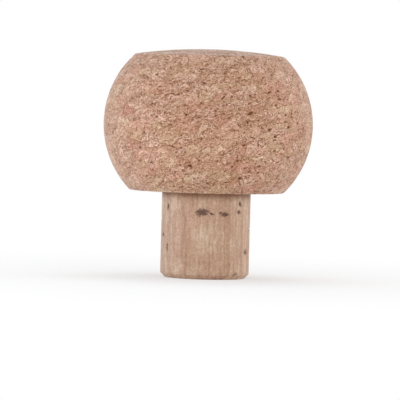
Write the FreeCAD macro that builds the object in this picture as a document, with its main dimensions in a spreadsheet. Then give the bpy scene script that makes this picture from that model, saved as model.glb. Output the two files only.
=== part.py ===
import FreeCAD, Part
import math
import os
import Sketcher

# A cork bottle stopper of two glued pieces. The head is turned from agglomerated cork: a barrel with a
# low dome on top and a flat underside that meets the bottle's lip. The shank is a punched natural cork,
# glued into a blind socket in the underside. The frame stands on the shank's foot, +Z up, in millimetres.

SIZES = [
    ("head_diameter", "46.0", "head across its belly, where it is widest"),
    ("side_offset", "2.2", "centre of the side's arc, out from the axis"),
    ("under_depth", "14.65", "belly down to the flat underside"),
    ("rim_rise", "15.25", "belly up to the top rim"),
    ("dome_rise", "1.3", "top rim up to the crown of the dome"),
    ("top_ease", "0.8", "rounding of the top rim"),
    ("under_ease", "0.5", "rounding of the underside's rim"),
    ("shank_diameter", "19.5", "shank where it is free, for a neck bore of about 18.5"),
    ("shank_reach", "19.0", "free length of the shank, below the head"),
    ("foot_chamfer", "1.0", "chamfer at the shank's foot, which leads it into the neck"),
    ("socket_depth", "8.0", "glue socket in the head, from the underside to its floor"),
    ("socket_lead", "0.5", "chamfer at the socket's mouth"),
    ("squeeze", "0.3", "how far the socket squeezes the shank, on the radius"),
    ("glue_film", "0.05", "glue between the shank and the socket's wall"),
    ("tip_chamfer", "0.8", "chamfer at the shank's glued tip"),
]


def make_sheet(doc):
    sheet = doc.addObject("Spreadsheet::Sheet", "Sizes")
    for row, (alias, value, note) in enumerate(SIZES, start=1):
        sheet.set(f"A{row}", value)
        sheet.setAlias(f"A{row}", alias)
        sheet.set(f"B{row}", note)
    doc.recompute()
    return sheet


def new_sketch(body, name, role):
    """A sketch on one of the body's own origin planes."""
    sketch = body.newObject("Sketcher::SketchObject", name)
    origin_plane = next(item for item in body.Origin.OriginFeatures if item.Role == role)
    sketch.AttachmentSupport = [(origin_plane, "")]
    sketch.MapMode = "FlatFace"
    return sketch


def join(sketch, *pairs):
    """Puts ends of curves on each other: (curve, end, curve, end), where end 1 is a start and 2 a finish."""
    for pair in pairs:
        sketch.addConstraint(Sketcher.Constraint("Coincident", *pair))


def level(sketch, kind, *curves):
    for curve in curves:
        sketch.addConstraint(Sketcher.Constraint(kind, curve))


def bind(sketch, name, formula, kind, *points, value=1.0):
    """A named measure whose value follows a formula of the sheet."""
    index = sketch.addConstraint(Sketcher.Constraint(kind, *points, value))
    sketch.renameConstraint(index, name)
    sketch.setExpression(f"Constraints.{name}", formula)


def turn(body, name, sketch):
    """Turns a half profile around the sketch's upright axis."""
    solid = body.newObject("PartDesign::Revolution", name)
    solid.Profile = sketch
    solid.ReferenceAxis = (sketch, ["V_Axis"])
    solid.Angle = 360.0
    return solid


def ring_edge(shape, height, pick):
    """Name of the round edge at a height: the widest there with pick=max, the narrowest with pick=min."""
    rings = []
    for number, edge in enumerate(shape.Edges, start=1):
        if edge.Degenerated or not isinstance(edge.Curve, Part.Circle):
            continue
        if abs(edge.Curve.Center.z - height) < 1e-4 and abs(edge.Curve.Axis.z) > 0.999:
            rings.append((edge.Curve.Radius, f"Edge{number}"))
    if not rings:
        raise RuntimeError(f"no round edge at height {height}")
    return pick(rings)[1]


def dress(body, kind, name, base, edge, measure, formula):
    """Breaks one round edge of a feature, with a chamfer or a fillet."""
    feature = body.newObject(kind, name)
    feature.Base = (base, [edge])
    feature.setExpression(measure, formula)
    return feature


def build_head(doc, size):
    # Heights in this body are measured from the underside.
    body = doc.addObject("PartDesign::Body", "Head")
    body.Label = "head"
    body.setExpression("Placement.Base.z", "Sizes.shank_reach")

    # Half profile: underside, bulging side, dome, axis. The side's arc swings about a centre beside the
    # axis, which makes the barrel wider than a ball of the same side. It is drawn in four stretches that
    # share this centre and meet at the belly and about half-way to each rim, so no turned face is large.
    # The dome's centre is on the axis.
    side_radius = size["head_diameter"] / 2 - size["side_offset"]
    belly = size["under_depth"]
    rim = belly + size["rim_rise"]
    crown = rim + size["dome_rise"]
    below = 0.45  # where two stretches meet under the belly, as a share of its height
    above = 0.5  # and above it, as a share of the rise to the rim
    stations = [
        ("underside", "0", 0.0),
        ("lowerSide", f"Sizes.under_depth * {below}", belly * below),
        ("belly", "Sizes.under_depth", belly),
        ("upperSide", f"Sizes.under_depth + Sizes.rim_rise * {above}", belly + size["rim_rise"] * above),
        ("topRim", "Sizes.under_depth + Sizes.rim_rise", rim),
    ]
    angles = [math.asin((height - belly) / side_radius) for _, _, height in stations]
    under_x = size["side_offset"] + side_radius * math.cos(angles[0])
    top_x = size["side_offset"] + side_radius * math.cos(angles[-1])
    dome_radius = (top_x**2 + size["dome_rise"] ** 2) / (2 * size["dome_rise"])
    up = FreeCAD.Vector(0, 0, 1)
    side_circle = Part.Circle(FreeCAD.Vector(size["side_offset"], belly, 0), up, side_radius)
    dome_circle = Part.Circle(FreeCAD.Vector(0, crown - dome_radius, 0), up, dome_radius)

    profile = new_sketch(body, "HeadProfile", "XZ_Plane")
    underside = profile.addGeometry(Part.LineSegment(FreeCAD.Vector(0, 0, 0), FreeCAD.Vector(under_x, 0, 0)))
    side = [
        profile.addGeometry(Part.ArcOfCircle(side_circle, low, high))
        for low, high in zip(angles, angles[1:])
    ]
    dome_from = math.acos(top_x / dome_radius)
    dome = profile.addGeometry(Part.ArcOfCircle(dome_circle, dome_from, math.pi / 2))
    axis = profile.addGeometry(Part.LineSegment(FreeCAD.Vector(0, crown, 0), FreeCAD.Vector(0, 0, 0)))
    loop = [underside, *side, dome, axis]
    join(profile, (underside, 1, -1, 1))
    join(profile, *[(curve, 2, following, 1) for curve, following in zip(loop, loop[1:] + loop[:1])])
    join(profile, *[(stretch, 3, side[0], 3) for stretch in side[1:]])
    level(profile, "Horizontal", underside)
    level(profile, "Vertical", axis)
    profile.addConstraint(Sketcher.Constraint("PointOnObject", dome, 3, -2))
    out = size["side_offset"]
    bind(profile, "sideCentreOut", "Sizes.side_offset", "DistanceX", -1, 1, side[0], 3, value=out)
    bind(profile, "sideCentreUp", "Sizes.under_depth", "DistanceY", -1, 1, side[0], 3, value=belly)
    side_formula = "Sizes.head_diameter / 2 - Sizes.side_offset"
    bind(profile, "sideRadius", side_formula, "Radius", side[0], value=side_radius)
    for stretch, (name, formula, height) in zip(side, stations[1:]):
        bind(profile, name, formula, "DistanceY", -1, 1, stretch, 2, value=height)
    crown_formula = "Sizes.under_depth + Sizes.rim_rise + Sizes.dome_rise"
    bind(profile, "crown", crown_formula, "DistanceY", -1, 1, dome, 2, value=crown)
    barrel = turn(body, "Barrel", profile)
    doc.recompute()

    # The glue socket goes up into the head from its underside and ends blind.
    socket_radius = size["shank_diameter"] / 2 - size["squeeze"]
    mouth = new_sketch(body, "SocketMouth", "XY_Plane")
    mouth.addGeometry(Part.Circle(FreeCAD.Vector(0, 0, 0), up, socket_radius))
    join(mouth, (0, 3, -1, 1))
    bind(mouth, "socketRadius", "Sizes.shank_diameter / 2 - Sizes.squeeze", "Radius", 0, value=socket_radius)
    socket = body.newObject("PartDesign::Pocket", "Socket")
    socket.Profile = mouth
    socket.Type = "Length"
    socket.Reversed = True
    socket.setExpression("Length", "Sizes.socket_depth")
    doc.recompute()
    removed = barrel.Shape.Volume - socket.Shape.Volume
    expected = math.pi * socket_radius**2 * size["socket_depth"]
    if abs(removed - expected) > 0.001 * expected:
        raise RuntimeError(f"the socket took {removed:.1f} mm3 out of the head, not {expected:.1f}")

    edge = ring_edge(socket.Shape, 0.0, min)
    lead = dress(body, "PartDesign::Chamfer", "SocketLead", socket, edge, "Size", "Sizes.socket_lead")
    doc.recompute()
    edge = ring_edge(lead.Shape, 0.0, max)
    under = dress(body, "PartDesign::Fillet", "UnderEase", lead, edge, "Radius", "Sizes.under_ease")
    doc.recompute()
    edge = ring_edge(under.Shape, rim, max)
    dress(body, "PartDesign::Fillet", "TopEase", under, edge, "Radius", "Sizes.top_ease")
    doc.recompute()
    return body


def build_shank(doc, size):
    # Heights in this body are measured from the foot. From the head's underside up, the shank is squeezed
    # thinner by the socket, over a short cone. Its tip sits on the socket's floor.
    body = doc.addObject("PartDesign::Body", "Shank")
    body.Label = "shank"
    free = size["shank_diameter"] / 2
    shoulder = size["squeeze"] + size["glue_film"]
    glued = free - shoulder
    reach = size["shank_reach"]
    top = reach + size["socket_depth"]
    free_formula = "Sizes.shank_diameter / 2"
    glued_formula = f"{free_formula} - Sizes.squeeze - Sizes.glue_film"
    shoulder_formula = "Sizes.shank_reach + Sizes.squeeze + Sizes.glue_film"
    top_formula = "Sizes.shank_reach + Sizes.socket_depth"

    # Corners of the half profile: name, distance out, height, and the formulas of both. A corner that is
    # level with the one before it, or straight above or below it, needs one formula less.
    corners = [
        ("axisFoot", 0, 0, None, None),
        ("footEdge", free - size["foot_chamfer"], 0, f"{free_formula} - Sizes.foot_chamfer", None),
        ("wallFoot", free, size["foot_chamfer"], free_formula, "Sizes.foot_chamfer"),
        ("wallTop", free, reach, None, "Sizes.shank_reach"),
        ("gluedFoot", glued, reach + shoulder, glued_formula, shoulder_formula),
        ("gluedTop", glued, top - size["tip_chamfer"], None, f"{top_formula} - Sizes.tip_chamfer"),
        ("tipEdge", glued - size["tip_chamfer"], top, f"{glued_formula} - Sizes.tip_chamfer", top_formula),
        ("axisTip", 0, top, None, None),
    ]
    profile = new_sketch(body, "ShankProfile", "XZ_Plane")
    lines = []
    for corner, following in zip(corners, corners[1:] + corners[:1]):
        start = FreeCAD.Vector(corner[1], corner[2], 0)
        finish = FreeCAD.Vector(following[1], following[2], 0)
        line = profile.addGeometry(Part.LineSegment(start, finish))
        lines.append(line)
        if start.x == finish.x:
            level(profile, "Vertical", line)
        if start.y == finish.y:
            level(profile, "Horizontal", line)
    join(profile, (lines[0], 1, -1, 1))
    join(profile, *[(line, 2, following, 1) for line, following in zip(lines, lines[1:] + lines[:1])])
    for line, (name, out, height, out_formula, height_formula) in zip(lines, corners[1:]):
        if out_formula:
            bind(profile, f"{name}Out", out_formula, "DistanceX", -1, 1, line, 2, value=out)
        if height_formula:
            bind(profile, f"{name}Up", height_formula, "DistanceY", -1, 1, line, 2, value=height)
    turn(body, "Punched", profile)
    doc.recompute()
    return body


def check_and_write(doc, bodies):
    for item in doc.Objects:
        if "Invalid" in item.State or "Error" in item.State:
            raise RuntimeError(f"{item.Label} did not compute: {item.State}")
        if item.isDerivedFrom("Sketcher::SketchObject") and not item.FullyConstrained:
            raise RuntimeError(f"{item.Label} is not fully constrained")
    os.makedirs("parts", exist_ok=True)
    for body in bodies:
        shape = body.Shape
        if shape.isNull() or not shape.isValid() or len(shape.Solids) != 1:
            raise RuntimeError(f"{body.Label} is not one sound solid")
        box = shape.BoundBox
        print(
            f"{body.Label}: {shape.Volume:.1f} mm3, {len(shape.Faces)} faces, "
            f"x {box.XMin:.2f} to {box.XMax:.2f}, z {box.ZMin:.2f} to {box.ZMax:.2f}"
        )
        shape.exportStep(f"parts/{body.Label}.step")


document = FreeCAD.newDocument("CorkStopper")
make_sheet(document)
sizes = {alias: float(value) for alias, value, _ in SIZES}
stopper_head = build_head(document, sizes)
stopper_shank = build_shank(document, sizes)
document.recompute()
check_and_write(document, [stopper_head, stopper_shank])
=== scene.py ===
import math
import bpy
from mathutils import Euler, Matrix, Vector


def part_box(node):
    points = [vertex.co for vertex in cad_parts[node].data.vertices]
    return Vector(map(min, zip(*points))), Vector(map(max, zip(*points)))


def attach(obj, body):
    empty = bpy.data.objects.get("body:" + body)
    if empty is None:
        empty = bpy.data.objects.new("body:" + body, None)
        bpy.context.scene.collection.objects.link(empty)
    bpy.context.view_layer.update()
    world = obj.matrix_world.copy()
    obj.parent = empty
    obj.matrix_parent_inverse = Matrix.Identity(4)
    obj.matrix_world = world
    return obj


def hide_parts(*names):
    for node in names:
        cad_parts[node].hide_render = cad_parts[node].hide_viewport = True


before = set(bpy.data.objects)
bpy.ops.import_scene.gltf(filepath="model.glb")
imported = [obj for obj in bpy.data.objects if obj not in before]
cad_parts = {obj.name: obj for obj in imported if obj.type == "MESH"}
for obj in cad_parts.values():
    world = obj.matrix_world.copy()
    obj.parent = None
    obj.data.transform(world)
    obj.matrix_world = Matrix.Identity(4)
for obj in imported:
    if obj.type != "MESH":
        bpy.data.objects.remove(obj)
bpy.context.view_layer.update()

scene = bpy.context.scene
mm = 0.001  # the scene is in metres, sizes here are in millimetres
print("frame loaded:", ", ".join(sorted(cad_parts)))


def srgb(hexColour):
    # a colour as a screen shows it, turned to the linear value that shaders work in
    parts = [int(hexColour[i:i + 2], 16) / 255 for i in (1, 3, 5)]
    return tuple(c / 12.92 if c <= 0.04045 else ((c + 0.055) / 1.055) ** 2.4 for c in parts) + (1.0,)


def addNode(tree, kind, inputs=None, stops=(), **settings):
    # one node, its settings, a link or a value for each input named, and the colours of a ramp
    node = tree.nodes.new(kind)
    for name, value in settings.items():
        setattr(node, name, value)
    for key, value in (inputs or {}).items():
        if isinstance(value, bpy.types.Node):
            value = value.outputs[0]
        if isinstance(value, bpy.types.NodeSocket):
            tree.links.new(value, node.inputs[key])
        else:
            node.inputs[key].default_value = value
    for number, (place, hexColour) in enumerate(stops):
        elements = node.color_ramp.elements
        element = elements[number] if number < len(elements) else elements.new(place)
        element.position = place
        element.color = srgb(hexColour)
    return node


def newMaterial(name):
    # a material with nothing in it but the place on the piece, in mm
    material = bpy.data.materials.new(name)
    material.use_nodes = True
    tree = material.node_tree
    tree.nodes.clear()
    place = addNode(tree, "ShaderNodeTexCoord")
    point = addNode(tree, "ShaderNodeVectorMath", {0: place.outputs["Object"], "Scale": 1 / mm},
                    operation="SCALE")
    return material, tree, point


def perSize(aside, up):
    # what a place in mm is multiplied by for a pattern that is so large sideways and upwards
    return (1 / aside, 1 / aside, 1 / up)


noiseLow, noiseHigh = 0.3, 0.7  # nearly all of a noise's values lie between these
# the soft edge of a pit, a pore or a mark: whole inside the first, gone past the second
markFade = {"From Min": 0.9, "From Max": 1.5, "To Min": 1.0, "To Max": 0.0}
leastDepth = 0.6  # mm, so that a thin mark still crosses the surface where that curves away


def markField(tree, point, marks, radiusAt):
    # distance to the nearest of the listed marks, 1 at a mark's edge. A mark is (degrees round
    # from the front, height, length, width, tilt), in mm and degrees, on the surface of that radius
    nearest = None
    for turnBy, height, length, width, tilt in marks:
        aside = math.radians(turnBy)
        out = radiusAt(height)
        centre = (out * math.sin(aside), -out * math.cos(aside), height)
        away = addNode(tree, "ShaderNodeVectorMath", {0: point, 1: centre}, operation="SUBTRACT")
        facing = addNode(tree, "ShaderNodeVectorRotate",
                         {"Vector": away, "Rotation": (0.0, -math.radians(tilt), aside)},
                         rotation_type="EULER_XYZ", invert=True)
        perHalf = (2 / length, 1 / max(width, leastDepth), 2 / width)
        shrunk = addNode(tree, "ShaderNodeVectorMath", {0: facing, 1: perHalf}, operation="MULTIPLY")
        distance = addNode(tree, "ShaderNodeVectorMath", {0: shrunk}, operation="LENGTH").outputs["Value"]
        if nearest is not None:
            both = addNode(tree, "ShaderNodeMath", {0: nearest, 1: distance}, operation="MINIMUM")
            distance = both.outputs[0]
        nearest = distance
    return nearest


# Agglomerated cork: bark ground to granules, pressed with a binder into a block and turned. The eye gets a
# mosaic of warm tan flakes, each with its own tone and its own run of grain, with dark crumbs in the joints.
agglomerate = {
    "seed": (31.0, 7.0, 19.0),  # where in the block this head was cut from, mm
    "lean": (0.05, 0.2, 0.0),  # how the block's layers lean in this head, radians
    "swayWidth": 2.5,  # mm, one bend of the layers
    "sway": (4.0, 4.0, 2.6),  # mm, how far the press bent the layers
    "flakeSize": 3.9,  # mm, the coarse granules
    "crumbSize": 1.2,  # mm, the fine ones that fill between
    "flatten": 2.1,  # granules lie wider than they are tall
    "wholeShare": 0.7,  # share of the block that is coarse granules
    "crumbsAlike": 0.63,  # crumbs differ less from one another than whole granules do
    "usualLot": (0.45, 0.5, 0.5),  # the tone, hue and turn that crumbs keep to, each from 0 to 1
    "crumbJoint": 2.6,  # joints between crumbs are this much finer
    "grainWidth": 0.28,  # mm, layers of cells inside a granule
    "grainLength": 1.7,
    "grainTurn": (1.1, 1.1, 6.28),  # radians, how far apart two granules' grains may be turned
    "strandWidth": 0.5,  # mm
    "strandLength": 2.4,
    "shredWidth": 0.13,  # mm, torn cells, drawn coarser than the real 0.04, which would not show
    "shredLength": 0.26,
    "shredLean": 0.35,  # a power below 1: most shreds are alike and a few much darker
    "wholeShreds": 0.55,  # how torn whole granules are, where crumbs are 1
    "speckAlong": 1.0,  # mm from one opened cell to the next, along its granule's grain
    "speckAcross": 0.42,
    "speckShare": 0.46,  # how far the largest speck reaches across its share of that room
    "speckChance": (0.72, 1.25),  # no speck below the first, the largest at the second
    "speckCrowding": 0.42,  # what a joint adds to that chance
    "crowdReach": 0.5,  # mm from the joint
    "paleAbove": 0.88,  # one speck in eight is pale
    "pitSpacing": 1.3,  # mm, crumbs of dark outer bark
    "pitAbove": 0.8,  # one place in five has one
    "pitSize": (0.02, 0.3),
    # tones at the two ends of each pattern: 1 leaves a granule's colour as it is
    "grainTone": (0.88, 1.08),
    "veinTone": (0.69, 0.95),
    "jointTone": (0.95, 0.55),
    "crumbJointTone": 0.82,
    "strandTone": (0.955, 1.025),
    "shredTone": (0.28, 1.34),
    "paintedFlakeShade": (0.99, 0.1),  # painted shade: at a granule's middle, and what its far side adds
    "flakeColours": [  # one granule to the next
        (0.00, "#ac7b64"), (0.14, "#b38870"), (0.34, "#ba9177"), (0.55, "#bd977e"),
        (0.72, "#c19c84"), (0.88, "#c4a48c"), (1.00, "#c8ab93")],
    "hueColours": [(0.06, "#c1907b"), (0.5, "#be957c"), (1.0, "#bb9b7a")],
    "hueShare": 0.53,  # how much of a granule's colour the hues give
    "speckColour": "#7a4a2f",
    "paleColour": "#c9a78e",
    "pitColour": "#5f2f10",
    "roughness": 0.78,
    "gloss": 0.12,  # the open cells swallow most of what the cell walls would have
    "sheen": 0.22,
    "sheenRoughness": 0.45,
    "bumpStrength": 0.5,
    "bumpDepth": 0.15,  # mm
    # the flecks that the photograph shows: degrees round, height, length, width, tilt
    "flecks": [
        (-30, 41.8, 0.7, 0.4, 0), (-18, 40.3, 1.4, 0.4, 6), (-10, 45.0, 0.5, 0.4, 0),
        (8, 39.9, 1.8, 0.5, 43), (22, 43.8, 0.6, 0.4, 0), (35, 44.3, 1.2, 0.4, 25),
        (27, 40.6, 0.6, 0.4, 0), (37, 41.2, 1.4, 0.7, 18), (44, 41.5, 0.9, 0.5, 0),
        (44, 39.8, 1.5, 0.7, 9), (40, 38.4, 1.3, 0.7, 13), (23, 36.6, 1.9, 0.7, 25),
        (52, 36.7, 0.9, 0.7, 48), (47, 36.4, 0.8, 0.5, 0), (46, 34.8, 1.3, 0.6, 0),
        (49, 33.8, 0.9, 0.7, 0), (28, 35.1, 1.0, 0.4, 19), (35, 33.2, 1.1, 0.9, 27),
        (14, 32.9, 0.7, 0.4, 0), (47, 29.1, 2.0, 0.4, 51), (20, 29.7, 1.1, 0.6, 35),
        (25, 27.8, 0.8, 0.4, 64), (53, 27.2, 1.6, 0.7, 28), (32, 26.7, 0.8, 0.4, 28),
        (44, 26.0, 2.2, 0.4, 28), (32, 25.2, 1.3, 0.4, 19), (30, 24.4, 1.0, 0.4, -35),
        (26, 24.0, 1.2, 0.4, 38), (21, 22.5, 0.9, 0.7, 0), (12, 21.6, 1.1, 0.4, 21),
        (17, 27.2, 0.7, 0.4, 81), (9, 27.9, 1.3, 0.3, 81), (5, 26.2, 1.1, 0.3, 0),
        (-5, 26.2, 0.7, 0.4, 0), (-8, 22.3, 0.5, 0.4, 0), (-62, 32.4, 1.1, 0.5, 23),
        (-37, 32.9, 0.9, 0.4, 67), (-41, 28.6, 0.8, 0.5, 0), (-40, 29.7, 0.9, 0.3, 72),
        (-37, 29.0, 0.8, 0.3, 18), (-19, 29.0, 2.5, 0.4, -19), (-15, 28.8, 1.4, 0.4, 29),
        (-21, 33.7, 1.2, 0.5, 11), (-29, 35.4, 1.0, 0.4, 28), (-30, 21.4, 0.7, 0.5, 80),
        (-20, 23.5, 0.9, 0.4, 81), (-16, 25.1, 0.7, 0.4, 40)],
}


def corkFlakes(tree, point, cut):
    # point is a place in the block, in mm. The same nodes serve the relief's tree and the material's.
    moved = addNode(tree, "ShaderNodeVectorMath", {0: point, 1: cut["seed"]}, operation="ADD")
    leaned = addNode(tree, "ShaderNodeVectorRotate", {"Vector": moved, "Rotation": cut["lean"]},
                     rotation_type="EULER_XYZ")
    sway = addNode(tree, "ShaderNodeTexNoise",
                   {"Vector": leaned, "Scale": 1 / cut["swayWidth"], "Detail": 4.0, "Roughness": 0.6},
                   noise_dimensions="3D")
    swing = addNode(tree, "ShaderNodeVectorMath", {0: sway.outputs[1], 1: (0.5, 0.5, 0.5)},
                    operation="SUBTRACT")
    pull = addNode(tree, "ShaderNodeVectorMath", {0: swing, 1: cut["sway"], 2: leaned},
                   operation="MULTIPLY_ADD")
    pressed = addNode(tree, "ShaderNodeVectorMath", {0: pull, 1: (1.0, 1.0, cut["flatten"])},
                      operation="MULTIPLY")

    perFlake, perCrumb = 1 / cut["flakeSize"], 1 / cut["crumbSize"]
    coarse = addNode(tree, "ShaderNodeTexVoronoi", {"Vector": pressed, "Scale": perFlake}, feature="F1")
    coarseEdge = addNode(tree, "ShaderNodeTexVoronoi", {"Vector": pressed, "Scale": perFlake},
                         feature="DISTANCE_TO_EDGE")
    fine = addNode(tree, "ShaderNodeTexVoronoi", {"Vector": pressed, "Scale": perCrumb}, feature="F1")
    fineEdge = addNode(tree, "ShaderNodeTexVoronoi", {"Vector": pressed, "Scale": perCrumb},
                       feature="DISTANCE_TO_EDGE")
    coarseParts = addNode(tree, "ShaderNodeSeparateXYZ", {0: coarse.outputs["Color"]})
    isCrumbs = addNode(tree, "ShaderNodeMath", {0: coarseParts.outputs[2], 1: cut["wholeShare"]},
                       operation="GREATER_THAN")
    alike = addNode(tree, "ShaderNodeMix",
                    {"Factor": cut["crumbsAlike"], 4: fine.outputs["Color"], 5: cut["usualLot"]},
                    data_type="VECTOR")
    lot = addNode(tree, "ShaderNodeMix",
                  {"Factor": isCrumbs, 4: coarse.outputs["Color"], 5: alike.outputs[1]},
                  data_type="VECTOR")
    # painted shade and highlight: each granule pales towards one side, mostly its upper one, as though its
    # tilted face caught light from above
    inside = addNode(tree, "ShaderNodeVectorMath", {0: pressed, 1: coarse.outputs["Position"]},
                     operation="SUBTRACT")
    toward = addNode(tree, "ShaderNodeVectorMath", {0: coarse.outputs["Color"], 1: (0.5, 0.5, 0.1)},
                     operation="SUBTRACT")
    paintedShadeSlope = addNode(tree, "ShaderNodeVectorMath", {0: inside, 1: toward}, operation="DOT_PRODUCT")
    paintedShadeSlope = addNode(tree, "ShaderNodeMath", {0: paintedShadeSlope.outputs["Value"], 1: 2 * perFlake},
                    operation="MULTIPLY")
    # distance to the joint in mm, the nearer of the two where crumbs fill a coarse cell
    coarseGap = addNode(tree, "ShaderNodeMath", {0: coarseEdge.outputs["Distance"], 1: cut["flakeSize"]},
                        operation="MULTIPLY")
    fineGap = addNode(tree, "ShaderNodeMath",
                      {0: fineEdge.outputs["Distance"], 1: cut["crumbJoint"] * cut["crumbSize"]},
                      operation="MULTIPLY")
    nearGap = addNode(tree, "ShaderNodeMath", {0: coarseGap, 1: fineGap}, operation="MINIMUM")
    gap = addNode(tree, "ShaderNodeMix", {"Factor": isCrumbs, 2: coarseGap, 3: nearGap},
                  data_type="FLOAT")

    # each granule was torn from the bark at its own angle and pressed flat: its grain runs its own way
    turn = cut["grainTurn"]
    tilt = addNode(tree, "ShaderNodeVectorMath",
                   {0: lot.outputs[1], 1: turn, 2: (-turn[0] / 2, -turn[1] / 2, 0.0)},
                   operation="MULTIPLY_ADD")
    spun = addNode(tree, "ShaderNodeVectorRotate", {"Vector": pull, "Rotation": tilt},
                   rotation_type="EULER_XYZ")
    drawn = addNode(tree, "ShaderNodeVectorMath",
                    {0: spun, 1: perSize(cut["grainLength"], cut["grainWidth"])}, operation="MULTIPLY")
    grain = addNode(tree, "ShaderNodeTexNoise",
                    {"Vector": drawn, "Scale": 0.5, "Detail": 2.0, "Roughness": 0.6},
                    noise_dimensions="3D")
    # the press drew soft dark strands through the block, along its layers
    combed = addNode(tree, "ShaderNodeVectorMath",
                     {0: pull, 1: perSize(cut["strandLength"], cut["strandWidth"])},
                     operation="MULTIPLY")
    strand = addNode(tree, "ShaderNodeTexNoise",
                     {"Vector": combed, "Scale": 0.5, "Detail": 2.0, "Roughness": 0.5},
                     noise_dimensions="3D")

    # turning and sanding tear the granules into shreds that lie along their grain
    torn = addNode(tree, "ShaderNodeVectorMath",
                   {0: spun, 1: perSize(cut["shredLength"], cut["shredWidth"])}, operation="MULTIPLY")
    shreds = addNode(tree, "ShaderNodeTexVoronoi", {"Vector": torn, "Scale": 1.0}, feature="F1")
    shredLot = addNode(tree, "ShaderNodeSeparateXYZ", {0: shreds.outputs["Color"]})
    shredShare = addNode(tree, "ShaderNodeMapRange",
                         {"Value": isCrumbs, "To Min": cut["wholeShreds"], "To Max": 1.0})
    leaning = addNode(tree, "ShaderNodeMath", {0: shredLot.outputs[0], 1: cut["shredLean"]},
                      operation="POWER")
    # the mean of an even draw to that power is taken off, so that shreds don't pale the cork
    shred = addNode(tree, "ShaderNodeMath", {0: leaning, 1: 1 / (1 + cut["shredLean"])},
                    operation="SUBTRACT")
    shred = addNode(tree, "ShaderNodeMath", {0: shred, 1: shredShare}, operation="MULTIPLY")

    # specks gather where granules meet: most are opened cells and dark dust, some are pale
    strewn = addNode(tree, "ShaderNodeVectorMath",
                     {0: spun, 1: perSize(cut["speckAlong"], cut["speckAcross"])}, operation="MULTIPLY")
    specks = addNode(tree, "ShaderNodeTexVoronoi", {"Vector": strewn, "Scale": 1.0}, feature="F1")
    speckLot = addNode(tree, "ShaderNodeSeparateXYZ", {0: specks.outputs["Color"]})
    crowd = addNode(tree, "ShaderNodeMapRange",
                    {"Value": gap, "From Min": 0.0, "From Max": cut["crowdReach"],
                     "To Min": cut["speckCrowding"], "To Max": 0.0})
    chance = addNode(tree, "ShaderNodeMath", {0: speckLot.outputs[0], 1: crowd}, operation="ADD")
    speckReach = addNode(tree, "ShaderNodeMapRange",
                         {"Value": chance, "From Min": cut["speckChance"][0],
                          "From Max": cut["speckChance"][1], "To Min": 0.0, "To Max": cut["speckShare"]})
    speck = addNode(tree, "ShaderNodeMath", {0: speckReach, 1: specks.outputs["Distance"]},
                    operation="SUBTRACT")
    speck = addNode(tree, "ShaderNodeMapRange",
                    {"Value": speck, "From Min": -0.04, "From Max": 0.12, "To Min": 0.0, "To Max": 1.0})
    pale = addNode(tree, "ShaderNodeMath", {0: speckLot.outputs[1], 1: cut["paleAbove"]},
                   operation="GREATER_THAN")

    # holes and crumbs of dark outer bark, ragged and few
    loose = addNode(tree, "ShaderNodeVectorMath", {0: swing, 1: (2.0, 2.0, 2.0), 2: leaned},
                    operation="MULTIPLY_ADD")
    pits = addNode(tree, "ShaderNodeTexVoronoi", {"Vector": loose, "Scale": 1 / cut["pitSpacing"]},
                   feature="F1")
    pitLot = addNode(tree, "ShaderNodeSeparateXYZ", {0: pits.outputs["Color"]})
    pitReach = addNode(tree, "ShaderNodeMapRange",
                       {"Value": pitLot.outputs[0], "From Min": cut["pitAbove"], "From Max": 1.0,
                        "To Min": cut["pitSize"][0], "To Max": cut["pitSize"][1]})
    scatter = addNode(tree, "ShaderNodeMath", {0: pits.outputs["Distance"], 1: pitReach},
                      operation="DIVIDE")
    ragged = addNode(tree, "ShaderNodeMath", {0: grain, 1: 2.0, 2: -1.0}, operation="MULTIPLY_ADD")
    frayed = addNode(tree, "ShaderNodeMath", {0: scatter, 1: ragged}, operation="ADD")
    placed = markField(tree, point, cut["flecks"], headRadius)
    uneven = addNode(tree, "ShaderNodeMath", {0: grain, 1: 1.6, 2: -0.6}, operation="MULTIPLY_ADD")
    placed = addNode(tree, "ShaderNodeMath", {0: placed, 1: uneven}, operation="ADD")
    nearest = addNode(tree, "ShaderNodeMath", {0: frayed, 1: placed}, operation="MINIMUM")
    edge = addNode(tree, "ShaderNodeMath", {0: shredLot.outputs[1], 1: 0.6, 2: nearest},
                   operation="MULTIPLY_ADD")
    pit = addNode(tree, "ShaderNodeMapRange", {"Value": edge, **markFade})
    return {"lot": lot.outputs[1], "crumbs": isCrumbs.outputs[0], "paintedShadeSlope": paintedShadeSlope.outputs[0],
            "gap": gap.outputs[0], "grain": grain.outputs[0], "strand": strand.outputs[0],
            "shred": shred.outputs[0], "speck": speck.outputs[0], "pale": pale.outputs[0],
            "pit": pit.outputs[0], "sway": sway.outputs[0]}


def deepen(tree, colour, tone):
    # cork darkens towards brown and pales towards cream: blue falls faster than red
    parts = addNode(tree, "ShaderNodeSeparateXYZ", {0: colour})
    channels = {}
    for number, power in enumerate((1.0, 1.45, 1.9)):
        share = addNode(tree, "ShaderNodeMath", {0: tone, 1: power}, operation="POWER")
        channels[number] = addNode(tree, "ShaderNodeMath", {0: parts.outputs[number], 1: share},
                                   operation="MULTIPLY")
    return addNode(tree, "ShaderNodeCombineXYZ", channels)


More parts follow.
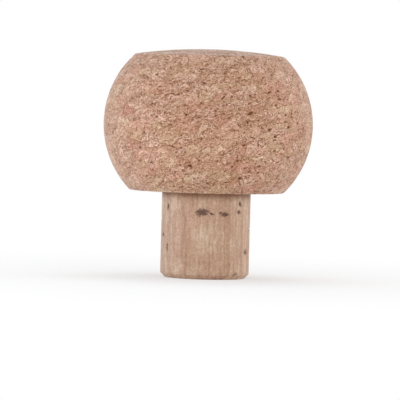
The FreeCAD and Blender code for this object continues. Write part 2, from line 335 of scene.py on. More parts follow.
def agglomeratedCork(cut):
    material, tree, point = newMaterial("agglomerated cork, turned and sanded")
    cork = corkFlakes(tree, point, cut)
    lots = addNode(tree, "ShaderNodeSeparateXYZ", {0: cork["lot"]})
    flakeColour = addNode(tree, "ShaderNodeValToRGB", {"Fac": lots.outputs[0]}, cut["flakeColours"])
    hue = addNode(tree, "ShaderNodeValToRGB", {"Fac": lots.outputs[1]}, cut["hueColours"])
    mixed = addNode(tree, "ShaderNodeMix", {"Factor": cut["hueShare"], 6: flakeColour, 7: hue},
                    data_type="RGBA")
    grainTone = addNode(tree, "ShaderNodeMapRange",
                        {"Value": cork["grain"], "From Min": noiseLow, "From Max": noiseHigh,
                         "To Min": cut["grainTone"][0], "To Max": cut["grainTone"][1]}, clamp=False)
    # some granules show dark veins, thin loops drawn out along their grain
    fromVein = addNode(tree, "ShaderNodeMath", {0: cork["grain"], 1: 0.5}, operation="SUBTRACT")
    fromVein = addNode(tree, "ShaderNodeMath", {0: fromVein}, operation="ABSOLUTE")
    veinDepth = addNode(tree, "ShaderNodeMapRange",
                        {"Value": lots.outputs[2], "From Min": 0.1, "From Max": 0.5,
                         "To Min": cut["veinTone"][0], "To Max": cut["veinTone"][1]})
    vein = addNode(tree, "ShaderNodeMapRange",
                   {"Value": fromVein, "From Min": 0.0, "From Max": 0.05, "To Min": veinDepth,
                    "To Max": 1.0})
    # joints between whole granules are open in some parts of the block and tight in others
    jointDepth = addNode(tree, "ShaderNodeMapRange",
                         {"Value": cork["sway"], "From Min": 0.42, "From Max": 0.58,
                          "To Min": cut["jointTone"][0], "To Max": cut["jointTone"][1]})
    jointDepth = addNode(tree, "ShaderNodeMix",
                         {"Factor": cork["crumbs"], 2: jointDepth, 3: cut["crumbJointTone"]},
                         data_type="FLOAT")
    joint = addNode(tree, "ShaderNodeMapRange",
                    {"Value": cork["gap"], "From Min": 0.03, "From Max": 0.17, "To Min": jointDepth,
                     "To Max": 1.0})
    # painted shade: granules lighter on their upper side and darker on their lower
    paintedFlakeShade = addNode(tree, "ShaderNodeMath",
                        {0: cork["paintedShadeSlope"], 1: cut["paintedFlakeShade"][1], 2: cut["paintedFlakeShade"][0]},
                        operation="MULTIPLY_ADD")
    strandTone = addNode(tree, "ShaderNodeMapRange",
                         {"Value": cork["strand"], "From Min": 0.3, "From Max": 0.55,
                          "To Min": cut["strandTone"][0], "To Max": cut["strandTone"][1]})
    shredTone = addNode(tree, "ShaderNodeMapRange",
                        {"Value": cork["shred"], "From Min": -0.26, "From Max": 0.14,
                         "To Min": cut["shredTone"][0], "To Max": cut["shredTone"][1]})
    tone = grainTone
    for other in (joint, vein, paintedFlakeShade, strandTone, shredTone):
        tone = addNode(tree, "ShaderNodeMath", {0: tone, 1: other}, operation="MULTIPLY")
    toned = deepen(tree, mixed.outputs[2], tone)
    speckColour = addNode(tree, "ShaderNodeMix",
                          {"Factor": cork["pale"], 6: srgb(cut["speckColour"]), 7: srgb(cut["paleColour"])},
                          data_type="RGBA")
    dusted = addNode(tree, "ShaderNodeMix",
                     {"Factor": cork["speck"], 6: toned, 7: speckColour.outputs[2]}, data_type="RGBA")
    speckled = addNode(tree, "ShaderNodeMix",
                       {"Factor": cork["pit"], 6: dusted.outputs[2], 7: srgb(cut["pitColour"])},
                       data_type="RGBA")
    height = addNode(tree, "ShaderNodeMath", {0: cork["grain"], 1: 0.6, 2: joint},
                     operation="MULTIPLY_ADD")
    height = addNode(tree, "ShaderNodeMath", {0: cork["shred"], 1: height}, operation="ADD")
    bump = addNode(tree, "ShaderNodeBump",
                   {"Strength": cut["bumpStrength"], "Distance": cut["bumpDepth"] * mm, "Height": height})
    skin = addNode(tree, "ShaderNodeBsdfPrincipled",
                   {"Base Color": speckled.outputs[2], "Roughness": cut["roughness"], "IOR": 1.45,
                    "Specular IOR Level": cut["gloss"], "Sheen Weight": cut["sheen"],
                    "Sheen Roughness": cut["sheenRoughness"], "Normal": bump})
    addNode(tree, "ShaderNodeOutputMaterial", {"Surface": skin})
    return material


# Natural cork: one piece of bark, punched along the tree's growth. The eye gets fine upright grain, soft
# growth bands, and the dark powdery lenticels that cross the piece from front to back.
bark = {
    "seed": (5.0, 43.0, 11.0),  # where in the bark this shank was punched, mm
    "swayWidth": 6.25,  # mm, one bend of the growth
    "sway": (0.8, 2.0, 1.0),  # mm, how far the growth wanders
    "grainWidth": 0.26,  # mm, upright rows of cells
    "grainLength": 4.2,
    "cellSize": 0.3,  # mm, cut cells and dust, drawn coarser than the real 0.04, which would not show
    "dustSize": 1.0,  # mm, patches of it
    "yearWidth": 2.9,  # mm, one year's growth
    "lateStart": 0.5,  # where in a year the cells begin to darken, and where they are darkest
    "lateEnd": 0.97,
    "poreSpacing": 3.0,  # mm between lenticels
    "poreSquash": (0.62, 0.09, 1.25),  # how short they are across, front to back and upwards
    "poreAbove": 0.5,  # one place in two has one
    "poreSize": (0.02, 0.16),
    # tones at the two ends of each pattern: 1 leaves the bark's colour as it is
    "grainTone": (0.8, 1.16),
    "cellTone": (0.88, 1.09),
    "dustTone": (0.92, 1.08),
    "lateTone": (1.02, 0.88),
    "paintedShadeBand": 1.9,  # mm below the head that the painted shadow of the head darkens
    # painted shade: the tone at the head's underside, where the painted shadow is darkest
    "paintedShadeTone": 0.47,
    "barkColours": [(0.30, "#ad8972"), (0.50, "#b4947c"), (0.70, "#bba088")],
    "poreColour": "#5e4032",
    "roughness": 0.6,
    "sheen": 0.15,
    "sheenRoughness": 0.4,
    "bumpStrength": 0.4,
    "bumpDepth": 0.1,  # mm
    # the marks that the photograph shows: degrees round, height, length, width, tilt
    "flecks": [
        (-5.0, 14.7, 3.0, 1.5, 2), (7.5, 14.4, 1.0, 0.4, -15), (25.5, 14.3, 1.8, 0.8, 0),
        (19.5, 14.6, 1.0, 0.5, 0), (-59.0, 15.6, 0.8, 1.4, 0), (-59.0, 6.8, 0.7, 1.6, 0),
        (-72.0, 9.4, 0.9, 0.9, 0), (48.0, 14.8, 1.0, 0.8, 0), (50.0, 16.6, 0.8, 1.1, 0),
        (66.0, 6.0, 0.9, 0.9, 0), (43.0, 1.1, 1.5, 0.6, 20),
        # and guesses for the sides and the back, where lenticels lie lengthwise
        (86, 10.8, 3.4, 0.5, 3), (103, 5.4, 5.0, 0.5, -2), (120, 13.4, 1.6, 0.6, 0),
        (-90, 12.8, 2.2, 0.5, -4), (-106, 4.2, 4.6, 0.5, 2), (-128, 9.2, 1.2, 0.7, 0),
        (150, 7.4, 1.4, 0.8, 5), (-166, 12.2, 2.0, 0.9, 0), (176, 4.4, 0.9, 0.6, 0)],
}


def barkGrowth(tree, point, cut):
    moved = addNode(tree, "ShaderNodeVectorMath", {0: point, 1: cut["seed"]}, operation="ADD")
    sway = addNode(tree, "ShaderNodeTexNoise",
                   {"Vector": moved, "Scale": 1 / cut["swayWidth"], "Detail": 4.0, "Roughness": 0.55},
                   noise_dimensions="3D")
    swing = addNode(tree, "ShaderNodeVectorMath", {0: sway.outputs[1], 1: (0.5, 0.5, 0.5)},
                    operation="SUBTRACT")
    pull = addNode(tree, "ShaderNodeVectorMath", {0: swing, 1: cut["sway"], 2: moved},
                   operation="MULTIPLY_ADD")
    drawn = addNode(tree, "ShaderNodeVectorMath",
                    {0: pull, 1: perSize(cut["grainWidth"], cut["grainLength"])}, operation="MULTIPLY")
    grain = addNode(tree, "ShaderNodeTexNoise",
                    {"Vector": drawn, "Scale": 0.5, "Detail": 3.0, "Roughness": 0.6},
                    noise_dimensions="3D")
    cells = addNode(tree, "ShaderNodeTexVoronoi", {"Vector": moved, "Scale": 1 / cut["cellSize"]},
                    feature="F1")
    cellLot = addNode(tree, "ShaderNodeSeparateXYZ", {0: cells.outputs["Color"]})
    dust = addNode(tree, "ShaderNodeTexNoise",
                   {"Vector": moved, "Scale": 1 / cut["dustSize"], "Detail": 3.0, "Roughness": 0.65},
                   noise_dimensions="3D")
    # years lie one behind the other, front to back; the last cells of each are dense and dark
    axes = addNode(tree, "ShaderNodeSeparateXYZ", {0: pull})
    years = addNode(tree, "ShaderNodeMath", {0: axes.outputs[1], 1: 1 / cut["yearWidth"]},
                    operation="MULTIPLY")
    phase = addNode(tree, "ShaderNodeMath", {0: years}, operation="FRACT")
    late = addNode(tree, "ShaderNodeMapRange",
                   {"Value": phase, "From Min": cut["lateStart"], "From Max": cut["lateEnd"],
                    "To Min": 0.0, "To Max": 1.0}, interpolation_type="SMOOTHSTEP")
    # lenticels run from the outer bark inwards: the front shows them end on and the sides lengthwise
    squashed = addNode(tree, "ShaderNodeVectorMath", {0: pull, 1: cut["poreSquash"]},
                       operation="MULTIPLY")
    pores = addNode(tree, "ShaderNodeTexVoronoi", {"Vector": squashed, "Scale": 1 / cut["poreSpacing"]},
                    feature="F1")
    poreLot = addNode(tree, "ShaderNodeSeparateXYZ", {0: pores.outputs["Color"]})
    poreReach = addNode(tree, "ShaderNodeMapRange",
                        {"Value": poreLot.outputs[0], "From Min": cut["poreAbove"], "From Max": 1.0,
                         "To Min": cut["poreSize"][0], "To Max": cut["poreSize"][1]})
    scatter = addNode(tree, "ShaderNodeMath", {0: pores.outputs["Distance"], 1: poreReach},
                      operation="DIVIDE")
    ragged = addNode(tree, "ShaderNodeMath", {0: dust, 1: 1.6, 2: -0.8}, operation="MULTIPLY_ADD")
    frayed = addNode(tree, "ShaderNodeMath", {0: scatter, 1: ragged}, operation="ADD")
    placed = markField(tree, point, cut["flecks"], shankRadius)
    nearest = addNode(tree, "ShaderNodeMath", {0: frayed, 1: placed}, operation="MINIMUM")
    edge = addNode(tree, "ShaderNodeMath", {0: cellLot.outputs[0], 1: 0.5, 2: nearest},
                   operation="MULTIPLY_ADD")
    pore = addNode(tree, "ShaderNodeMapRange", {"Value": edge, **markFade})
    return {"grain": grain.outputs[0], "cell": cellLot.outputs[0], "dust": dust.outputs[0],
            "late": late.outputs[0], "pore": pore.outputs[0], "sway": sway.outputs[0]}


def naturalCork(cut, reach):
    material, tree, point = newMaterial("natural cork, punched and sanded")
    cork = barkGrowth(tree, point, cut)
    base = addNode(tree, "ShaderNodeValToRGB", {"Fac": cork["sway"]}, cut["barkColours"])
    grainTone = addNode(tree, "ShaderNodeMapRange",
                        {"Value": cork["grain"], "From Min": noiseLow, "From Max": noiseHigh,
                         "To Min": cut["grainTone"][0], "To Max": cut["grainTone"][1]}, clamp=False)
    cellTone = addNode(tree, "ShaderNodeMapRange",
                       {"Value": cork["cell"], "To Min": cut["cellTone"][0],
                        "To Max": cut["cellTone"][1]})
    dustTone = addNode(tree, "ShaderNodeMapRange",
                       {"Value": cork["dust"], "From Min": noiseLow, "From Max": noiseHigh,
                        "To Min": cut["dustTone"][0], "To Max": cut["dustTone"][1]}, clamp=False)
    lateTone = addNode(tree, "ShaderNodeMapRange",
                       {"Value": cork["late"], "To Min": cut["lateTone"][0],
                        "To Max": cut["lateTone"][1]})
    # painted shade: the head's shadow on the shank, a band that darkens towards the head's underside
    axes = addNode(tree, "ShaderNodeSeparateXYZ", {0: point})
    paintedShadeTone = addNode(tree, "ShaderNodeMapRange",
                       {"Value": axes.outputs[2], "From Min": reach - cut["paintedShadeBand"],
                        "From Max": reach, "To Min": 1.0, "To Max": cut["paintedShadeTone"]},
                       interpolation_type="SMOOTHSTEP")
    tone = grainTone
    for other in (dustTone, cellTone, lateTone, paintedShadeTone):
        tone = addNode(tree, "ShaderNodeMath", {0: tone, 1: other}, operation="MULTIPLY")
    toned = deepen(tree, base, tone)
    pored = addNode(tree, "ShaderNodeMix", {"Factor": cork["pore"], 6: toned, 7: srgb(cut["poreColour"])},
                    data_type="RGBA")
    height = addNode(tree, "ShaderNodeMath", {0: cork["pore"], 1: -1.5, 2: cork["grain"]},
                     operation="MULTIPLY_ADD")
    bump = addNode(tree, "ShaderNodeBump",
                   {"Strength": cut["bumpStrength"], "Distance": cut["bumpDepth"] * mm, "Height": height})
    skin = addNode(tree, "ShaderNodeBsdfPrincipled",
                   {"Base Color": pored.outputs[2], "Roughness": cut["roughness"], "IOR": 1.45,
                    "Sheen Weight": cut["sheen"], "Sheen Roughness": cut["sheenRoughness"],
                    "Normal": bump})
    addNode(tree, "ShaderNodeOutputMaterial", {"Surface": skin})
    return material


# Lathe: a half profile of (out, up) points becomes a closed turned piece. The ends are closed by square
# grids pressed round, so there is no pole where all rows meet, and the rows follow the rims.
def buildLathe(name, relief):
    tree = bpy.data.node_groups.new(name, "GeometryNodeTree")
    for socketName, kind in (("Profile", "NodeSocketGeometry"), ("Rings", "NodeSocketInt"),
                             ("Rows", "NodeSocketInt"), ("Relief", "NodeSocketFloat"),
                             ("Finish", "NodeSocketMaterial")):
        tree.interface.new_socket(socketName, in_out="INPUT", socket_type=kind)
    tree.interface.new_socket("Piece", in_out="OUTPUT", socket_type="NodeSocketGeometry")
    given = addNode(tree, "NodeGroupInput")
    profile, rings, rows = given.outputs["Profile"], given.outputs["Rings"], given.outputs["Rows"]

    # a block from -1 to 1, with the profile's rings on its two ends and its rows up the sides
    across = addNode(tree, "ShaderNodeMath", {0: rings, 1: 2.0, 2: 1.0}, operation="MULTIPLY_ADD")
    tall = addNode(tree, "ShaderNodeMath", {0: rows, 1: 1.0}, operation="ADD")
    block = addNode(tree, "GeometryNodeMeshCube",
                    {"Size": (2.0, 2.0, 2.0), "Vertices X": across, "Vertices Y": across,
                     "Vertices Z": tall})
    place = addNode(tree, "GeometryNodeInputPosition")
    axes = addNode(tree, "ShaderNodeSeparateXYZ", {0: place})
    x, y, z = axes.outputs
    sizeX = addNode(tree, "ShaderNodeMath", {0: x}, operation="ABSOLUTE")
    sizeY = addNode(tree, "ShaderNodeMath", {0: y}, operation="ABSOLUTE")
    square = addNode(tree, "ShaderNodeMath", {0: sizeX, 1: sizeY}, operation="MAXIMUM")
    inward = addNode(tree, "ShaderNodeMath", {0: 1.0, 1: square}, operation="SUBTRACT")
    steps = addNode(tree, "ShaderNodeMath", {0: inward, 1: rings}, operation="MULTIPLY")

    # which profile point a corner of the grid takes: the underside, then the side's rows, then the top
    nearEnd = 0.9999
    onTop = addNode(tree, "ShaderNodeMath", {0: z, 1: nearEnd}, operation="GREATER_THAN")
    onUnder = addNode(tree, "ShaderNodeMath", {0: z, 1: -nearEnd}, operation="LESS_THAN")
    side = addNode(tree, "ShaderNodeMapRange",
                   {"Value": z, "From Min": -1.0, "From Max": 1.0, "To Min": 0.0, "To Max": rows})
    level = addNode(tree, "ShaderNodeMath", {0: side, 1: rings}, operation="ADD")
    above = addNode(tree, "ShaderNodeMath", {0: onTop, 1: steps, 2: level}, operation="MULTIPLY_ADD")
    below = addNode(tree, "ShaderNodeMath", {0: onUnder, 1: steps}, operation="MULTIPLY")
    index = addNode(tree, "ShaderNodeMath", {0: above, 1: below}, operation="SUBTRACT")
    whole = addNode(tree, "ShaderNodeMath", {0: index}, operation="ROUND")
    outUp = addNode(tree, "GeometryNodeSampleIndex", {"Geometry": profile, "Value": place, "Index": whole},
                    data_type="FLOAT_VECTOR", domain="POINT")
    outUp = addNode(tree, "ShaderNodeSeparateXYZ", {0: outUp})
    exposed = addNode(tree, "GeometryNodeInputNamedAttribute", {"Name": "exposed"}, data_type="FLOAT")
    shown = addNode(tree, "GeometryNodeSampleIndex",
                    {"Geometry": profile, "Value": exposed, "Index": whole},
                    data_type="FLOAT", domain="POINT")

    # the square's edge pressed onto a circle, an eighth of a turn at a time
    alongX = addNode(tree, "ShaderNodeMath", {0: sizeX, 1: sizeY}, operation="GREATER_THAN")
    slopeX = addNode(tree, "ShaderNodeMath", {0: y, 1: x}, operation="DIVIDE")
    slopeY = addNode(tree, "ShaderNodeMath", {0: x, 1: y}, operation="DIVIDE")
    slope = addNode(tree, "ShaderNodeMix", {"Factor": alongX, 2: slopeY, 3: slopeX}, data_type="FLOAT")
    angle = addNode(tree, "ShaderNodeMath", {0: slope, 1: math.pi / 4}, operation="MULTIPLY")
    main = addNode(tree, "ShaderNodeMath", {0: angle}, operation="COSINE")
    minor = addNode(tree, "ShaderNodeMath", {0: angle}, operation="SINE")
    signX = addNode(tree, "ShaderNodeMath", {0: x}, operation="SIGN")
    signY = addNode(tree, "ShaderNodeMath", {0: y}, operation="SIGN")
    towardX = addNode(tree, "ShaderNodeCombineXYZ", {0: main, 1: minor})
    towardY = addNode(tree, "ShaderNodeCombineXYZ", {0: minor, 1: main})
    signedX = addNode(tree, "ShaderNodeVectorMath", {0: towardX, "Scale": signX}, operation="SCALE")
    signedY = addNode(tree, "ShaderNodeVectorMath", {0: towardY, "Scale": signY}, operation="SCALE")
    heading = addNode(tree, "ShaderNodeMix", {"Factor": alongX, 4: signedY, 5: signedX},
                      data_type="VECTOR")
    outward = addNode(tree, "ShaderNodeVectorMath", {0: heading.outputs[1], "Scale": outUp.outputs[0]},
                      operation="SCALE")
    lifted = addNode(tree, "ShaderNodeCombineXYZ", {2: outUp.outputs[2]})
    spot = addNode(tree, "ShaderNodeVectorMath", {0: outward, 1: lifted}, operation="ADD")
    kept = addNode(tree, "GeometryNodeStoreNamedAttribute",
                   {"Geometry": block.outputs["Mesh"], "Name": "exposed", "Value": shown},
                   data_type="FLOAT", domain="POINT")
    turned = addNode(tree, "GeometryNodeSetPosition", {"Geometry": kept, "Position": spot})

    # relief: the surface opens at pits and joints, always inwards
    point = addNode(tree, "ShaderNodeVectorMath", {0: place, "Scale": 1 / mm}, operation="SCALE")
    depth = relief(tree, point)
    normal = addNode(tree, "GeometryNodeInputNormal")
    masked = addNode(tree, "ShaderNodeMath", {0: depth, 1: exposed}, operation="MULTIPLY")
    scaled = addNode(tree, "ShaderNodeMath", {0: masked, 1: given.outputs["Relief"]},
                     operation="MULTIPLY")
    push = addNode(tree, "ShaderNodeVectorMath", {0: normal, "Scale": scaled}, operation="SCALE")
    worn = addNode(tree, "GeometryNodeSetPosition", {"Geometry": turned, "Offset": push})
    real = addNode(tree, "GeometryNodeRealizeInstances", {0: worn})
    finished = addNode(tree, "GeometryNodeSetMaterial",
                       {"Geometry": real, "Material": given.outputs["Finish"]})
    addNode(tree, "NodeGroupOutput", {"Piece": finished})
    return tree


def turnPiece(name, tree, profile, rings, rows, relief, material):
    # profile: points of (out, up, exposed), in mm, from the axis below to the axis above
    mesh = bpy.data.meshes.new(name + "Profile")
    points = [(out * mm, 0.0, up * mm) for out, up, _ in profile]
    mesh.from_pydata(points, [(i, i + 1) for i in range(len(points) - 1)], [])
    shownAt = mesh.attributes.new("exposed", "FLOAT", "POINT")
    shownAt.data.foreach_set("value", [shown for _, _, shown in profile])
    piece = bpy.data.objects.new(name, mesh)
    scene.collection.objects.link(piece)
    lathe = piece.modifiers.new("lathe", "NODES")
    lathe.node_group = tree
    values = {"Rings": rings, "Rows": rows, "Relief": relief * mm, "Finish": material}
    for item in tree.interface.items_tree:
        if item.item_type == "SOCKET" and item.in_out == "INPUT" and item.name in values:
            lathe[item.identifier] = values[item.name]
    evaluated = piece.evaluated_get(bpy.context.evaluated_depsgraph_get())
    turned = bpy.data.meshes.new_from_object(evaluated)
    piece.modifiers.remove(lathe)
    piece.data = turned
    turned.name = name
    turned.shade_smooth()
    print(f"{name}: {len(turned.vertices)} points, {len(turned.polygons)} faces")
    return piece


def straight(start, finish, steps, shown=1.0):
    # points along a straight stretch of a profile, after its start
    outBy, upBy = finish[0] - start[0], finish[1] - start[1]
    return [(start[0] + outBy * k / steps, start[1] + upBy * k / steps, shown) for k in range(1, steps + 1)]


def arc(centre, radius, startAngle, finishAngle, steps, shown=1.0):
    angles = [startAngle + (finishAngle - startAngle) * k / steps for k in range(1, steps + 1)]
    return [(centre[0] + radius * math.cos(a), centre[1] + radius * math.sin(a), shown) for a in angles]


def angleTo(centre, point):
    return math.atan2(point[1] - centre[1], point[0] - centre[0])


# Head
headShape = {
    "belly": 22.99,  # radius at the widest, a hair inside the facets of the CAD's 23
    "sideOffset": 2.2,  # centre of the side's arc, out from the axis
    "bellyUp": 14.65,  # belly above the underside
    "domeRise": 1.3,
    "topEase": 0.8,
    "underEase": 0.5,
    "socketRadius": 9.45,
    "socketDepth": 8.0,
    "socketLead": 0.5,
    "relief": 1.0,  # 0 leaves the surface smooth
    "pitDepth": 0.14,
    "jointDepth": 0.05,
    "jointReach": 0.3,  # mm from a joint to where the surface is whole
    # points along each stretch of the profile
    "socketFloorSteps": 20,
    "socketWallSteps": 15,
    "underSteps": 27,
    "sideSteps": 118,
    "rimSteps": 3,
}


def headRadius(height):
    # radius of the head's side at a height above the floor
    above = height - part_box("head")[0].z / mm - headShape["bellyUp"]
    sideRadius = headShape["belly"] - headShape["sideOffset"]
    return headShape["sideOffset"] + math.sqrt(sideRadius ** 2 - above ** 2)


def headProfile(shape):
    low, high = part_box("head")
    foot = low.z / mm
    crown = (high.z - low.z) / mm
    side = (shape["sideOffset"], shape["bellyUp"])
    sideRadius = shape["belly"] - shape["sideOffset"]
    rim = crown - shape["domeRise"]
    rimOut = side[0] + math.sqrt(sideRadius ** 2 - (rim - side[1]) ** 2)
    domeRadius = (rimOut ** 2 + shape["domeRise"] ** 2) / (2 * shape["domeRise"])
    dome = (0.0, crown - domeRadius)
    # the rims' roundings: circles that touch both neighbours from inside
    under = shape["underEase"]
    underCentre = (side[0] + math.sqrt((sideRadius - under) ** 2 - (side[1] - under) ** 2), under)
    top = shape["topEase"]
    apart = math.dist(side, dome)
    along = ((domeRadius - top) ** 2 - (sideRadius - top) ** 2 + apart ** 2) / (2 * apart)
    across = math.sqrt((domeRadius - top) ** 2 - along ** 2)
    unit = ((side[0] - dome[0]) / apart, (side[1] - dome[1]) / apart)
    topCentre = (dome[0] + along * unit[0] + across * unit[1],
                 dome[1] + along * unit[1] - across * unit[0])
    sideLow, sideHigh = angleTo(side, underCentre), angleTo(side, topCentre)
    domeLow = angleTo(dome, topCentre)

    socket, lead, depth = shape["socketRadius"], shape["socketLead"], shape["socketDepth"]
    mouth = (socket + lead, 0.0)
    points = [(0.0, depth, 0.0)]
    points += straight((0.0, depth), (socket, depth), shape["socketFloorSteps"], 0.0)
    points += straight((socket, depth), (socket, lead), shape["socketWallSteps"], 0.0)
    points += straight((socket, lead), mouth, shape["rimSteps"], 0.0)
    points += straight(mouth, (underCentre[0], 0.0), shape["underSteps"])
    rings = len(points) - 1
    points += arc(underCentre, under, -math.pi / 2, sideLow, shape["rimSteps"])
    points += arc(side, sideRadius, sideLow, sideHigh, shape["sideSteps"])
    points += arc(topCentre, top, sideHigh, domeLow, shape["rimSteps"])
    rows = len(points) - 1 - rings
    points += arc(dome, domeRadius, domeLow, math.pi / 2, rings)
    return [(out, up + foot, shown) for out, up, shown in points], rings, rows


def headRelief(tree, point):
    cork = corkFlakes(tree, point, agglomerate)
    groove = addNode(tree, "ShaderNodeMapRange",
                     {"Value": cork["gap"], "From Min": 0.0, "From Max": headShape["jointReach"],
                      "To Min": -headShape["jointDepth"], "To Max": 0.0})
    return addNode(tree, "ShaderNodeMath", {0: cork["pit"], 1: -headShape["pitDepth"], 2: groove},
                   operation="MULTIPLY_ADD")


profile, rings, rows = headProfile(headShape)
head = turnPiece("turnedHead", buildLathe("head lathe", headRelief), profile, rings, rows,
                 headShape["relief"], agglomeratedCork(agglomerate))
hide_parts("head")
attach(head, "root")


# Shank
shankShape = {
    "radius": 9.75,
    "reach": 19.0,  # foot to the head's underside
    "footChamfer": 1.0,
    "gluedRadius": 9.4,
    "tipChamfer": 0.8,
    "relief": 1.0,  # 0 leaves the surface smooth
    "poreDepth": 0.3,
    "grainDepth": 0.03,
    # points along each stretch of the profile
    "footSteps": 30,
    "footChamferSteps": 4,
    "wallSteps": 72,
    "gluedSteps": 8,
    "tipChamferSteps": 2,
}


def shankRadius(height):
    # the same at every height, where the head's changes
    return shankShape["radius"]


def shankProfile(shape):
    radius, glued, chamfer = shape["radius"], shape["gluedRadius"], shape["footChamfer"]
    reach, tip = shape["reach"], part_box("shank")[1].z / mm
    corners = [(0.0, 0.0), (radius - chamfer, 0.0), (radius, chamfer), (radius, reach),
               (glued, reach + radius - glued), (glued, tip - shape["tipChamfer"]),
               (glued - shape["tipChamfer"], tip), (0.0, tip)]
    points = [(0.0, 0.0, 1.0)]
    points += straight(corners[0], corners[1], shape["footSteps"])
    rings = len(points) - 1
    points += straight(corners[1], corners[2], shape["footChamferSteps"])
    points += straight(corners[2], corners[3], shape["wallSteps"])
    points += straight(corners[3], corners[4], 1, 0.0)
    points += straight(corners[4], corners[5], shape["gluedSteps"], 0.0)
    points += straight(corners[5], corners[6], shape["tipChamferSteps"], 0.0)
    rows = len(points) - 1 - rings
    points += straight(corners[6], corners[7], rings, 0.0)
    return points, rings, rows


def shankRelief(tree, point):
    cork = barkGrowth(tree, point, bark)
    groove = addNode(tree, "ShaderNodeMapRange",
                     {"Value": cork["grain"], "From Min": 0.3, "From Max": 0.6,
                      "To Min": -shankShape["grainDepth"], "To Max": 0.0})
    return addNode(tree, "ShaderNodeMath", {0: cork["pore"], 1: -shankShape["poreDepth"], 2: groove},
                   operation="MULTIPLY_ADD")


profile, rings, rows = shankProfile(shankShape)
shank = turnPiece("punchedShank", buildLathe("shank lathe", shankRelief), profile, rings, rows,
                  shankShape["relief"], naturalCork(bark, shankShape["reach"]))
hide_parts("shank")
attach(shank, "root")


# Studio: a white floor that keeps the shadow, white all round for the camera and for reflections
studioLook = {
    "floorHalf": 3.0,  # m
    "floorColour": "#fafafa",
    "shadowReach": 0.12,  # m, past this the floor is plain white to the camera
    "shadowDepth": 0.55,  # how much of the floor's own shading shows under the stopper
    "fill": 0.6,  # light from all round
    "aim": (0.0, 0.0, 0.03),  # m, where the lamps point
    # name, watts, colour, width and height in m, place. The left is a little cool, as by a window
    "lamps": [
        ("key", 4.05, "#ffffff", 1.1, 0.4, (-0.55, -1.1, 0.2)),
        ("second", 3.0, "#ffffff", 1.1, 0.4, (0.65, -1.05, 0.2)),
        ("left", 4.3, "#d4eaff", 1.0, 0.4, (-1.2, 0.15, 0.2)),
        ("right", 6.4, "#ffffff", 1.0, 0.4, (1.2, 0.3, 0.2)),
        ("top", 2.9, "#ffffff", 1.0, 0.6, (0.0, 0.25, 1.2)),
        ("card", 0.08, "#e9f4ff", 0.14, 0.1, (-0.13, -0.05, 0.004))],  # lies on the floor
}


def seenDirectly(tree):
    # 1 for the camera and for mirror-like rays, 0 for light that falls on things
    path = addNode(tree, "ShaderNodeLightPath")
    either = addNode(tree, "ShaderNodeMath",
                     {0: path.outputs["Is Camera Ray"], 1: path.outputs["Is Glossy Ray"]},
                     operation="MAXIMUM")
    return addNode(tree, "ShaderNodeMath", {0: either, 1: path.outputs["Is Transmission Ray"]},
                   operation="MAXIMUM")


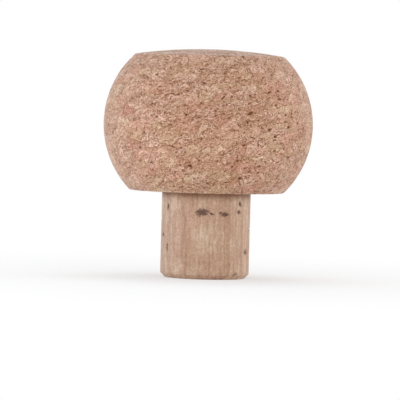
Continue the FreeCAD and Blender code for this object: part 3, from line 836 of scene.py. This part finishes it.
def setStudio(look):
    half = look["floorHalf"]
    corners = [(-half, -half, 0), (half, -half, 0), (half, half, 0), (-half, half, 0)]
    mesh = bpy.data.meshes.new("floor")
    mesh.from_pydata(corners, [], [(0, 1, 2, 3)])
    floor = bpy.data.objects.new("floor", mesh)
    scene.collection.objects.link(floor)
    paper = bpy.data.materials.new("white paper sweep")
    paper.use_nodes = True
    tree = paper.node_tree
    tree.nodes.clear()
    place = addNode(tree, "ShaderNodeTexCoord")
    away = addNode(tree, "ShaderNodeVectorMath", {0: place.outputs["Object"]}, operation="LENGTH")
    plain = addNode(tree, "ShaderNodeMapRange",
                    {"Value": away.outputs["Value"], "From Min": 0.0, "From Max": look["shadowReach"],
                     "To Min": 1 - look["shadowDepth"], "To Max": 1.0}, interpolation_type="SMOOTHSTEP")
    share = addNode(tree, "ShaderNodeMath", {0: seenDirectly(tree), 1: plain}, operation="MULTIPLY")
    matt = addNode(tree, "ShaderNodeBsdfDiffuse", {"Color": srgb(look["floorColour"])})
    glow = addNode(tree, "ShaderNodeEmission", {"Color": (1, 1, 1, 1), "Strength": 1.0})
    both = addNode(tree, "ShaderNodeMixShader", {0: share, 1: matt, 2: glow})
    addNode(tree, "ShaderNodeOutputMaterial", {"Surface": both})
    mesh.materials.append(paper)

    world = bpy.data.worlds.new("white surround")
    scene.world = world
    world.use_nodes = True
    tree = world.node_tree
    tree.nodes.clear()
    fill = addNode(tree, "ShaderNodeBackground", {"Color": (1, 1, 1, 1), "Strength": look["fill"]})
    white = addNode(tree, "ShaderNodeBackground", {"Color": (1, 1, 1, 1), "Strength": 1.0})
    both = addNode(tree, "ShaderNodeMixShader", {0: seenDirectly(tree), 1: fill, 2: white})
    addNode(tree, "ShaderNodeOutputWorld", {"Surface": both})

    for name, watts, hexColour, wide, tall, place in look["lamps"]:
        light = bpy.data.lights.new(name, "AREA")
        light.energy = watts
        light.color = srgb(hexColour)[:3]
        light.shape = "RECTANGLE"
        light.size = wide
        light.size_y = tall
        lamp = bpy.data.objects.new(name, light)
        scene.collection.objects.link(lamp)
        lamp.location = place
        lamp.rotation_euler = (Vector(look["aim"]) - Vector(place)).to_track_quat("-Z", "Y").to_euler()
        lamp.visible_camera = False


# Camera: the photograph's side view, from just above the belly with a long lens, rolled a little
cameraPlace = {
    "pixels": 400,  # the photograph's frame
    "millimetresAPixel": 0.2198,  # at the stopper's axis
    "away": 880.0,  # mm
    "pitch": 2.0,  # degrees down
    "roll": 1.5,  # degrees
    "bellyPixel": (208.25, 124.6),  # where the middle of the belly shows, from the top left
    "sensor": 36.0,  # mm
    "clip": (0.01, 20.0),  # m
}


def aimCamera(shot):
    lens = bpy.data.cameras.new("camera")
    camera = bpy.data.objects.new("camera", lens)
    scene.collection.objects.link(camera)
    scene.camera = camera
    lens.sensor_width = shot["sensor"]
    lens.lens = shot["sensor"] * shot["away"] / (shot["pixels"] * shot["millimetresAPixel"])
    lens.clip_start, lens.clip_end = shot["clip"]
    tilted = Euler((math.radians(90 - shot["pitch"]), 0.0, 0.0)).to_matrix()
    turn = tilted @ Euler((0.0, 0.0, math.radians(shot["roll"]))).to_matrix()
    right, up, back = turn.col[0], turn.col[1], turn.col[2]
    belly = Vector((0.0, 0.0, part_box("head")[0].z + headShape["bellyUp"] * mm))
    scale = shot["millimetresAPixel"] * mm
    aside = (shot["bellyPixel"][0] - shot["pixels"] / 2) * scale
    higher = (shot["pixels"] / 2 - shot["bellyPixel"][1]) * scale
    camera.location = belly - right * aside - up * higher + back * shot["away"] * mm
    camera.rotation_euler = turn.to_euler()


setStudio(studioLook)
aimCamera(cameraPlace)
scene.view_settings.view_transform = "Standard"
print("camera and studio set")
